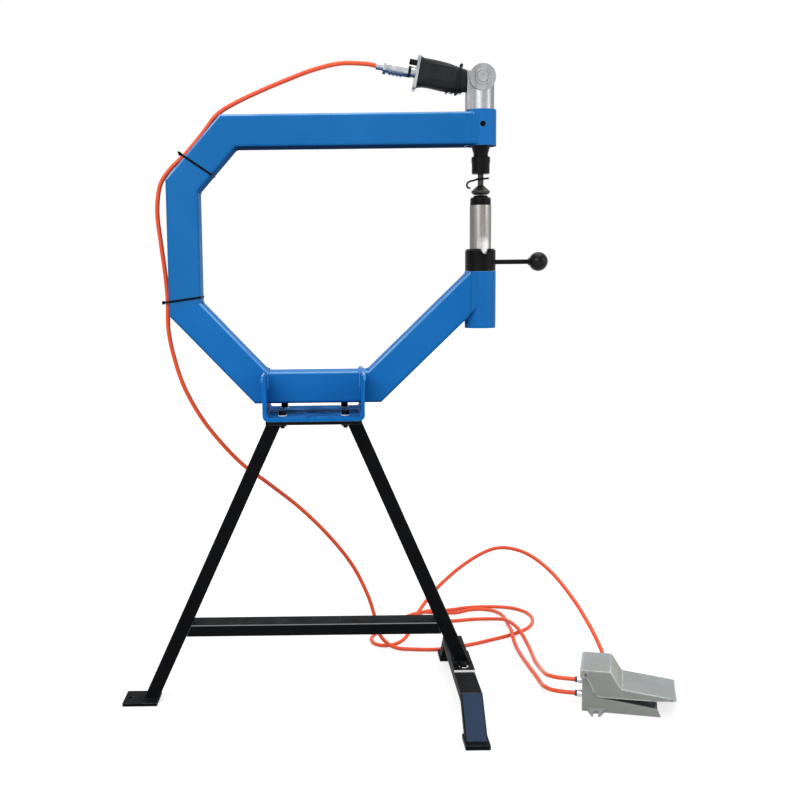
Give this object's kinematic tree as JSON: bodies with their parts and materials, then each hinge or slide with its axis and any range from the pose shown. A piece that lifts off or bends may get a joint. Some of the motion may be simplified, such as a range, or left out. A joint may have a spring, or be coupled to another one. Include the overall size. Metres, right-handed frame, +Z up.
{
  "type": "planishing hammer",
  "caption": "Floor-standing pneumatic planishing hammer: an air hammer faces a lever-set anvil across the throat of a welded C-frame on a splayed stand, worked by a foot valve.",
  "frame": {"origin": "on the floor under the middle of the machine with its foot valve", "axes": "+Z up, +X from the column towards the hammer, +Y towards the back"},
  "size_m": [1.0206, 0.7749, 1.1668],
  "materials": {
    "frame_paint": "glossy blue powder coat",
    "stand_paint": "black powder coat",
    "black_steel": "black oxide",
    "bright_steel": "turned steel",
    "cast_alloy": "machined casting",
    "grip_rubber": "moulded grip",
    "black_plastic": "moulded",
    "valve_paint": "grey paint on sheet metal",
    "hose_skin": "polyurethane tube"
  },
  "bodies": {
    "machine": {"upper_arm_tube": "frame_paint", "upper_corner_tube": "frame_paint", "column_tube": "frame_paint", "lower_corner_tube": "frame_paint", "base_tube": "frame_paint", "front_diagonal_tube": "frame_paint", "hammer_socket": "frame_paint", "post_socket": "frame_paint", "clamp_screw": "black_steel", "key_screw": "black_steel", "saddle_bracket": "frame_paint", "saddle_screws": "black_steel", "saddle_washers": "bright_steel", "saddle_nuts": "black_steel", "stand_top_plate": "stand_paint", "left_leg": "stand_paint", "right_leg": "stand_paint", "crossbar": "stand_paint", "left_foot_plate": "stand_paint", "cross_foot_beam": "stand_paint", "front_foot_bend": "stand_paint", "rear_foot_bend": "stand_paint", "foot_end_plates": "stand_paint", "leg_flange": "stand_paint", "flange_screws": "black_steel", "hammer_head": "cast_alloy", "throttle_plug": "cast_alloy", "hammer_barrel": "black_steel", "die_retainer": "black_steel", "handle_core": "cast_alloy", "grip_sleeve": "grip_rubber", "handle_end_plate": "cast_alloy", "trigger_pin": "bright_steel", "grip_tie": "black_plastic", "inlet_nipple": "bright_steel", "inlet_ring": "black_plastic", "coupler_body": "bright_steel", "valve_base": "valve_paint", "treadle_pin": "bright_steel", "treadle_spring": "bright_steel", "valve_fittings": "bright_steel", "release_rings": "black_plastic", "hammer_hose": "hose_skin", "supply_hose": "hose_skin", "supply_plug": "bright_steel", "hose_ties": "black_plastic"},
    "cam_lever": {"cam_collar": "black_steel", "lever_rod": "black_steel", "ball_knob": "black_plastic"},
    "anvil": {"anvil_post": "bright_steel", "anvil_die": "black_steel", "cross_pin": "bright_steel"},
    "die": {"hammer_die": "black_steel", "die_wire_clip": "black_steel"},
    "piston": {"piston": "bright_steel"},
    "trigger": {"trigger": "black_plastic"},
    "regulator": {"regulator_knob": "black_steel"},
    "sleeve": {"coupler_sleeve": "bright_steel"},
    "treadle": {"treadle": "valve_paint"},
    "spool": {"valve_spool": "bright_steel"}
  },
  "joints": [
    {"name": "lever_swing", "type": "hinge", "parent": "machine", "child": "cam_lever", "pos_m": [0.15095, 0, 0.8], "axis": [0, 0, 1], "range_deg": [0, 80]},
    {"name": "anvil_lift", "type": "slide", "parent": "machine", "child": "anvil", "axis": [0, 0, -1], "range_m": [0, 0.012]},
    {"name": "die_stroke", "type": "slide", "parent": "machine", "child": "die", "axis": [0, 0, 1], "range_m": [0, 0.006]},
    {"name": "piston_stroke", "type": "slide", "parent": "machine", "child": "piston", "axis": [0, 0, 1], "range_m": [0, 0.06]},
    {"name": "trigger_squeeze", "type": "hinge", "parent": "machine", "child": "trigger", "pos_m": [0.11744, 0, 1.10867], "axis": [0, 1, 0], "range_deg": [0, 5], "stiffness_Nm_per_rad": 0.4, "springref_deg": -11.46},
    {"name": "regulator_turn", "type": "hinge", "parent": "machine", "child": "regulator", "pos_m": [0.03252, 0, 1.15474], "axis": [-0.9826, 0, 0.1857], "range_deg": [0, 270]},
    {"name": "sleeve_pull", "type": "slide", "parent": "machine", "child": "sleeve", "axis": [-0.9826, 0, 0.1857], "range_m": [0, 0.004], "stiffness_N_per_m": 800, "springref_m": -0.004},
    {"name": "treadle_press", "type": "hinge", "parent": "machine", "child": "treadle", "pos_m": [0.34569, -0.03026, 0.068], "axis": [0.2588, 0.9659, 0], "range_deg": [0, 6.5], "stiffness_Nm_per_rad": 3, "springref_deg": -20.05},
    {"name": "spool_push", "type": "slide", "parent": "machine", "child": "spool", "axis": [0, 0, -1], "range_m": [0, 0.0032], "deforming": ["treadle_spring"]}
  ],
  "couplings": [
    {"joint": "anvil_lift", "follows": "lever_swing", "m_per_rad": 0.00859},
    {"joint": "spool_push", "follows": "treadle_press", "m_per_rad": 0.028}
  ]
}
